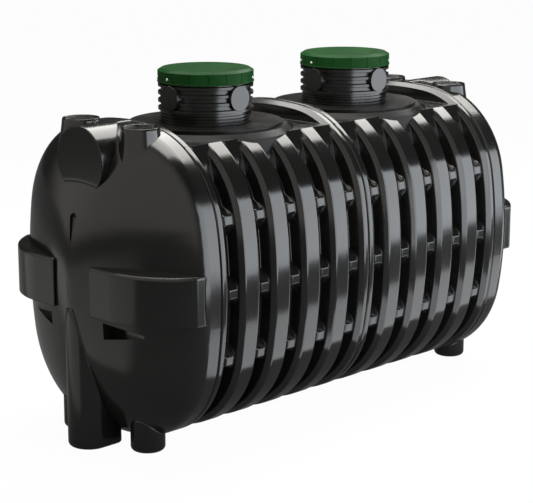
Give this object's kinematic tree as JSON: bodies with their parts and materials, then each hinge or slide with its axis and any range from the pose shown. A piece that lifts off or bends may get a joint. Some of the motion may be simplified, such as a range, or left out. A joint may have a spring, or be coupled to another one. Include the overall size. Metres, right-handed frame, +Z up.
{
  "type": "underground water tank",
  "caption": "Ribbed horizontal underground water storage tank with domed ends, flat feet, round corrugated manway risers and screwed green lids.",
  "frame": {"origin": "middle of the tank's length and width, at the level of the feet's undersides", "axes": "+X along the tank towards the outlet end, +Y across the tank, +Z up"},
  "size_m": [3.9986, 1.85, 2.522],
  "materials": {
    "tank": "semi-gloss black moulded polyethylene",
    "riser": "semi-gloss black moulded polyethylene",
    "lid": "dark green moulded plastic"
  },
  "bodies": {
    "root": {"inlet_end_band_middles": "tank", "inlet_end_band_shoulders": "tank", "inlet_end_band_sides": "tank", "inlet_end_columns": "tank", "inlet_end_dome": "tank", "inlet_end_ears": "tank", "inlet_floor": "tank", "inlet_floor_shoulders": "tank", "inlet_gussets": "tank", "inlet_manway_lid": "lid", "inlet_middle_sides": "tank", "inlet_nose_foot": "tank", "inlet_pipe_pad": "tank", "inlet_platform_ends": "tank", "inlet_platform_sides": "tank", "inlet_riser_bosses": "riser", "inlet_riser_ends": "riser", "inlet_riser_sides": "riser", "inlet_roof": "tank", "inlet_roof_shoulders": "tank", "inlet_rounded_sides": "tank", "inlet_side_feet": "tank", "outlet_end_band_middles": "tank", "outlet_end_band_shoulders": "tank", "outlet_end_band_sides": "tank", "outlet_end_columns": "tank", "outlet_end_dome": "tank", "outlet_end_ears": "tank", "outlet_floor": "tank", "outlet_floor_shoulders": "tank", "outlet_gussets": "tank", "outlet_manway_lid": "lid", "outlet_middle_sides": "tank", "outlet_nose_foot": "tank", "outlet_pipe_pad": "tank", "outlet_platform_ends": "tank", "outlet_platform_sides": "tank", "outlet_riser_bosses": "riser", "outlet_riser_ends": "riser", "outlet_riser_sides": "riser", "outlet_roof": "tank", "outlet_roof_shoulders": "tank", "outlet_rounded_sides": "tank", "outlet_side_feet": "tank"}
  },
  "joints": []
}
